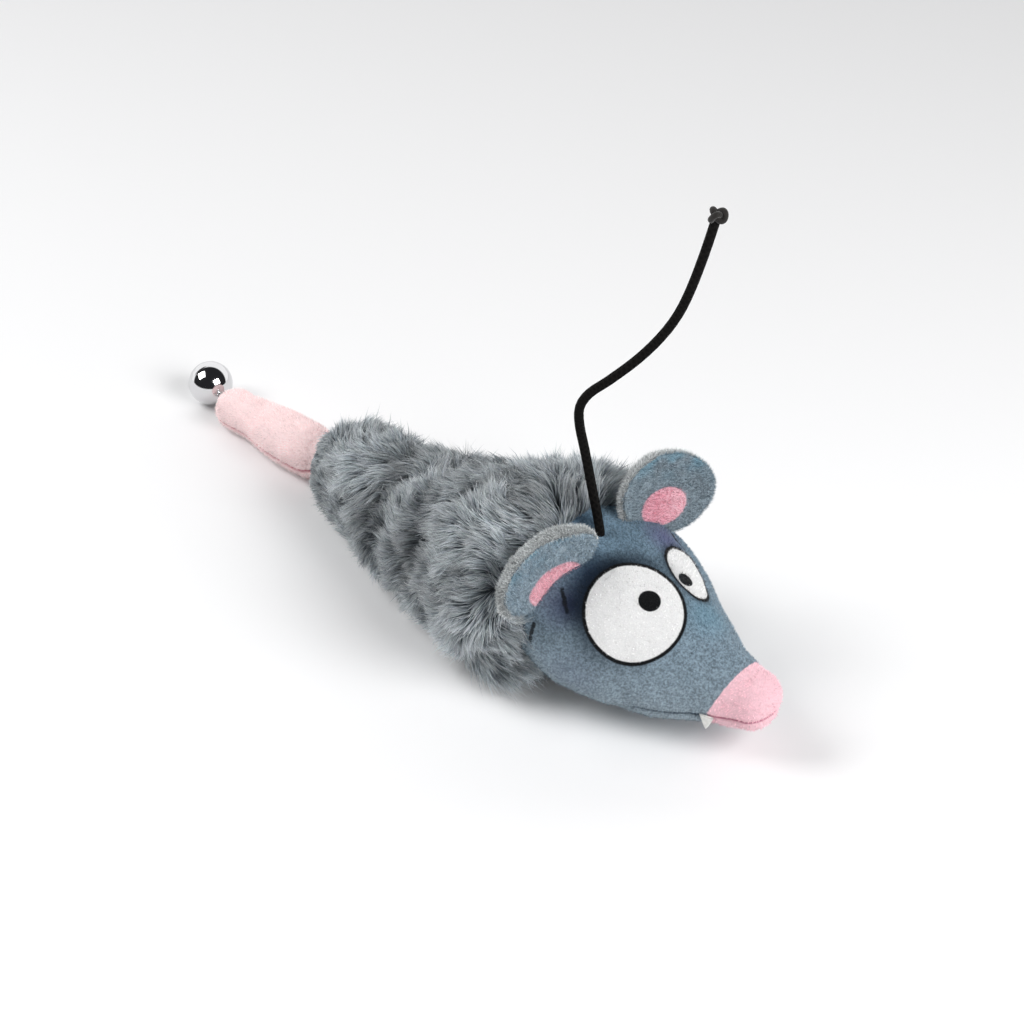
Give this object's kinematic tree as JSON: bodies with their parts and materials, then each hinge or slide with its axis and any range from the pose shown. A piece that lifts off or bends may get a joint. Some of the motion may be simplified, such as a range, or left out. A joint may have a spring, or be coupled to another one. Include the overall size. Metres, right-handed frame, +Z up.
{
  "type": "plush rat cat toy on elastic cord",
  "caption": "Stuffed plush rat cat toy with long-pile body, printed head, folding ears, bell on a fabric tail and an elastic cord.",
  "frame": {"origin": "middle of the rat's footprint on the surface it lies on, cord left out", "axes": "+X towards the nose, +Y to the rat's left, +Z up"},
  "size_m": [0.28, 0.0851, 0.168],
  "materials": {
    "fur": "long grey pile with light tips",
    "plush": "short printed blue-grey pile",
    "ear_back": "short warm grey pile",
    "felt": "white felt",
    "filling": "loose white polyester fibre",
    "tail_plush": "short pink pile",
    "thread": "white sewing thread",
    "chrome": "bright plated",
    "elastic": "black braided elastic"
  },
  "bodies": {
    "torso": {"body_cover": "fur", "body_stuffing": "filling"},
    "head": {"head_top": "plush", "head_chin": "plush", "head_stuffing": "filling", "tooth": "felt", "cord": "elastic", "cord_stitches": "thread", "cord_anchor_knot": "elastic", "cord_end_knot": "elastic"},
    "ear_right": {"ear_right_front": "plush", "ear_right_back": "ear_back"},
    "ear_left": {"ear_left_front": "plush", "ear_left_back": "ear_back"},
    "tail": {"tail_cover": "tail_plush", "tail_stuffing": "filling", "tail_stitch": "thread"},
    "bell": {"bell_loop": "thread", "bell_shell": "chrome", "bell_eyelet": "chrome"},
    "pellet": {"bell_pellet": "chrome"}
  },
  "joints": [
    {"name": "neck_nod", "type": "hinge", "parent": "torso", "child": "head", "pos_m": [0.052, -0.004, 0.0335], "axis": [0, 1, 0], "range_deg": [-15, 15], "stiffness_Nm_per_rad": 0.15, "springref_deg": -3.44},
    {"name": "ear_right_fold", "type": "hinge", "parent": "head", "child": "ear_right", "pos_m": [0.0725, -0.0205, 0.046], "axis": [-0.2673, -0.8018, -0.5345], "range_deg": [-15, 15], "stiffness_Nm_per_rad": 0.01},
    {"name": "ear_left_fold", "type": "hinge", "parent": "head", "child": "ear_left", "pos_m": [0.0765, 0.022, 0.048], "axis": [0.2477, 0.9288, -0.2758], "range_deg": [-15, 15], "stiffness_Nm_per_rad": 0.01},
    {"name": "tail_swing", "type": "hinge", "parent": "torso", "child": "tail", "pos_m": [-0.055, 0.009, 0.0125], "axis": [0, 0, 1], "range_deg": [-28, 28], "stiffness_Nm_per_rad": 0.02},
    {"name": "bell_swing", "type": "hinge", "parent": "tail", "child": "bell", "pos_m": [-0.119, 0.011, 0.0065], "axis": [0, 0, 1], "range_deg": [-40, 40]},
    {"name": "pellet_roll", "type": "hinge", "parent": "bell", "child": "pellet", "pos_m": [-0.132, 0.015, 0.008], "axis": [0, 1, 0], "range_deg": [-70, 70]}
  ]
}
